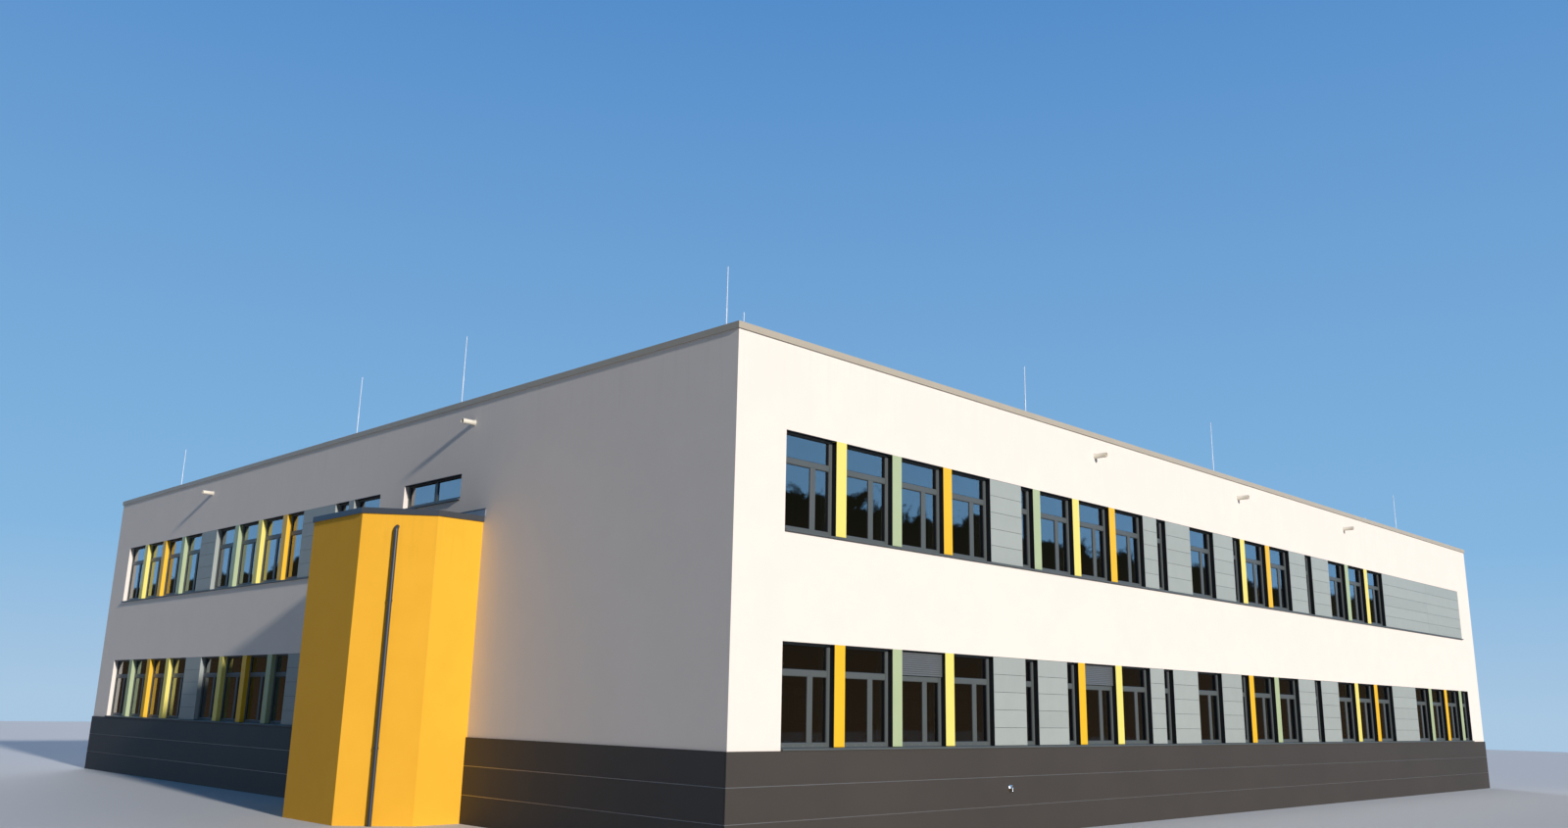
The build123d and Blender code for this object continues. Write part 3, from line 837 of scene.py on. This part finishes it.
rail_low = low[0] + (0, high[0][1] - low[0][1] - rail_height, 0)
rail_high = high[0] + (0, rail_rise, rail_step)
points, faces = chamfered_boxes(rail_low, rail_high, rail_chamfer)
add_piece("flashing_rail", [(on_side(points, "left"), faces)], anthracite)

# Garden tap: brass, cast and turned, then chromed and dulled by the weather. Its body stands on a
# round rosette and carries a spindle with a bar handle above and a hose nozzle below.

tap_metal, shader = start_finish("chromed_brass_dulled", Metallic=1.0, Roughness=0.28)
coords = object_coords(tap_metal)
mottled(tap_metal, shader, coords, "#C9C7C2", "#DAD8D3", patch=0.03)
grained(tap_metal, shader, coords, grain=0.004, depth=0.0001)
low, high = solids_in("plinth_tap", "front")
tap_low, tap_high = low[0], high[0]
middle = (tap_low[0] + tap_high[0]) / 2
rosette_radius = (tap_high[0] - tap_low[0]) / 2
axis_height = tap_high[1] - rosette_radius
body_radius, body_margin, body_chamfer = 0.017, 0.022, 0.006
spindle_radius, spindle_place, spindle_rise = 0.010, 0.045, 0.004
nozzle_radius, nozzle_set_back = 0.016, 0.012
handle_radius, handle_half, handle_rise = 0.005, 0.028, 0.052
stem = tap_high[2] - tap_low[2] - body_margin
spindle_out = tap_low[2] + spindle_place
# A profile's points have the radius first and then the place along its axis.
body = [(0, 0), (rosette_radius, 0), (rosette_radius, 0.006), (rosette_radius - 0.010, 0.014),
        (0.020, 0.016), (body_radius, 0.022), (body_radius, stem),
        (0.012, stem + body_chamfer), (0, stem + body_chamfer)]
spindle = [(0, -0.002), (spindle_radius, -0.002), (spindle_radius, 0.036), (0.013, 0.038),
           (0.013, 0.044), (0.0, 0.046)]
nozzle = [(0, -0.004), (nozzle_radius, -0.004), (nozzle_radius, -0.030), (0.013, -0.034),
          (0.013, -0.048), (0.015, -0.050), (0.011, -0.062), (0.011, -0.074), (0, -0.074)]
handle = [(0, -handle_half), (0.004, -handle_half), (handle_radius, 0.0), (0.004, handle_half),
          (0, handle_half)]
parts = [
    turned(body, (middle, axis_height, tap_low[2]), segments=24),
    turned(spindle, (middle, axis_height + spindle_rise, spindle_out), segments=20, axis=1),
    turned(nozzle, (middle, axis_height, tap_low[2] + stem - nozzle_set_back), segments=20, axis=1),
    turned(handle, (middle, axis_height + handle_rise, spindle_out), segments=12, axis=0),
]
piece = add_piece(
    "hose_tap", [(on_side(p, "front"), f) for p, f in parts], tap_metal, smooth=True
)
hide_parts("plinth_tap")

# Studio: a plain pale floor under a blue surround. A low sun lights the front squarely and grazes
# the left side, and a weaker, broader one reaches the back. Panes and metal mirror a brighter,
# deeper sky over a ragged dark horizon.

floor_reach = 90.0
floor_mesh = bpy.data.meshes.new("floor")
edge = np.array([(-1, -1, 0), (1, -1, 0), (1, 1, 0), (-1, 1, 0)]) * floor_reach
floor_mesh.from_pydata(edge.tolist(), [], [(0, 1, 2, 3)])
floor = bpy.data.objects.new("floor", floor_mesh)
bpy.context.scene.collection.objects.link(floor)
floor_finish, shader = start_finish("pale_studio_floor", Roughness=0.9)
shader.inputs["Base Color"].default_value = linear("#CACCCD")
floor_mesh.materials.append(floor_finish)
floor.visible_glossy = False

for name, way, energy, spread, colour in (
    ("low_sun", (0.11, 0.95, -0.30), 4.0, 3, "#FFF7EE"),
    ("soft_back_light", (-0.50, -0.80, -0.35), 1.3, 40, "#EEF2FF"),
):
    lamp = bpy.data.lights.new(name, "SUN")
    lamp.energy, lamp.angle = energy, np.radians(spread)
    lamp.color = linear(colour)[:3]
    light = bpy.data.objects.new(name, lamp)
    light.rotation_euler = Vector(way).to_track_quat("-Z", "Y").to_euler()
    bpy.context.scene.collection.objects.link(light)

light_strength, seen_strength, mirrored_strength = 0.22, 0.92, 2.0
seen_sky = [(0.0, "#B0CFEA"), (0.12, "#8ABDE8"), (0.55, "#5590D0")]
mirrored_sky = [(0.0, "#3C2F23"), (0.318, "#23231B"), (0.324, "#84B8E6"), (0.8, "#5C93CC")]
horizon_detail, horizon_swing, least_share = 16.0, 0.14, 0.3
world = bpy.data.worlds.new("blue_surround")
world.use_nodes = True
bpy.context.scene.world = world
background = world.node_tree.nodes["Background"]
ray = add_node(world, "ShaderNodeTexCoord").outputs["Generated"]
way = add_node(world, "ShaderNodeSeparateXYZ", links={"Vector": ray}).outputs


def compute(operation, *values):
    """One math node of the surround: numbers are set on its sockets and outputs linked to them."""
    made = add_node(world, "ShaderNodeMath", {"operation": operation})
    for index, value in enumerate(values):
        if isinstance(value, (int, float)):
            made.inputs[index].default_value = value
        else:
            world.node_tree.links.new(value, made.inputs[index])
    return made.outputs["Value"]


def shades(value, stops):
    """A colour by a value, from hex colours at given places."""
    ramp = add_node(world, "ShaderNodeValToRGB", links={0: value})
    while len(ramp.color_ramp.elements) < len(stops):
        ramp.color_ramp.elements.new(0.5)
    for element, (place, colour) in zip(ramp.color_ramp.elements, stops):
        element.position = place
        element.color = linear(colour)
    return ramp.outputs["Color"]


seen = shades(way["Z"], seen_sky)

# The mirrored horizon is level along each facade: its height is the ray's Z over the level part
# that leaves the facade. That is the shorter one, and it counts as at least a share of the longer.
level = compute("ABSOLUTE", way["X"]), compute("ABSOLUTE", way["Y"])
shorter, longer = compute("MINIMUM", *level), compute("MAXIMUM", *level)
leaving = compute("MAXIMUM", shorter, compute("MULTIPLY", longer, least_share))
ragged = add_node(
    world,
    "ShaderNodeTexNoise",
    {"Scale": horizon_detail, "Detail": 7.0, "Roughness": 0.7},
    {"Vector": ray},
)
swing = compute("MULTIPLY", ragged.outputs["Fac"], horizon_swing)
mirrored = shades(compute("ADD", compute("DIVIDE", way["Z"], leaving), swing), mirrored_sky)
path = add_node(world, "ShaderNodeLightPath")
choice = add_node(
    world,
    "ShaderNodeMix",
    {"data_type": "RGBA"},
    {"Factor": path.outputs["Is Glossy Ray"], 6: seen, 7: mirrored},
)
more_seen, more_mirrored = seen_strength - light_strength, mirrored_strength - light_strength
strength = compute("MULTIPLY_ADD", path.outputs["Is Camera Ray"], more_seen, light_strength)
strength = compute("MULTIPLY_ADD", path.outputs["Is Glossy Ray"], more_mirrored, strength)
world.node_tree.links.new(choice.outputs[2], background.inputs["Color"])
world.node_tree.links.new(strength, background.inputs["Strength"])
bpy.context.scene.view_settings.view_transform = "Standard"

# Camera: at the photo's viewing place, 2.2 m above the building's ground. It looks at the front
# left corner and a little upwards, and is tilted by about a degree.

image_width, focal_pixels, sensor_width, view_depth = 1600, 1259.1, 36.0, 500.0
eye = Vector((-30.5955, -28.969, 2.243))
yaw, pitch, roll = np.radians((45.04, 13.43, 1.15))
forward = Vector((np.sin(yaw) * np.cos(pitch), np.cos(yaw) * np.cos(pitch), np.sin(pitch)))
sideways = Vector((np.cos(yaw), -np.sin(yaw), 0))
upward = sideways.cross(forward)
right = sideways * np.cos(roll) + upward * np.sin(roll)
upward = upward * np.cos(roll) - sideways * np.sin(roll)
camera_data = bpy.data.cameras.new("camera")
camera_data.sensor_width = sensor_width
camera_data.lens = focal_pixels / image_width * sensor_width
camera_data.clip_end = view_depth
camera = bpy.data.objects.new("camera", camera_data)
axes = Matrix((right, upward, -forward)).transposed().to_4x4()
camera.matrix_world = Matrix.Translation(eye) @ axes
bpy.context.scene.collection.objects.link(camera)
bpy.context.scene.camera = camera
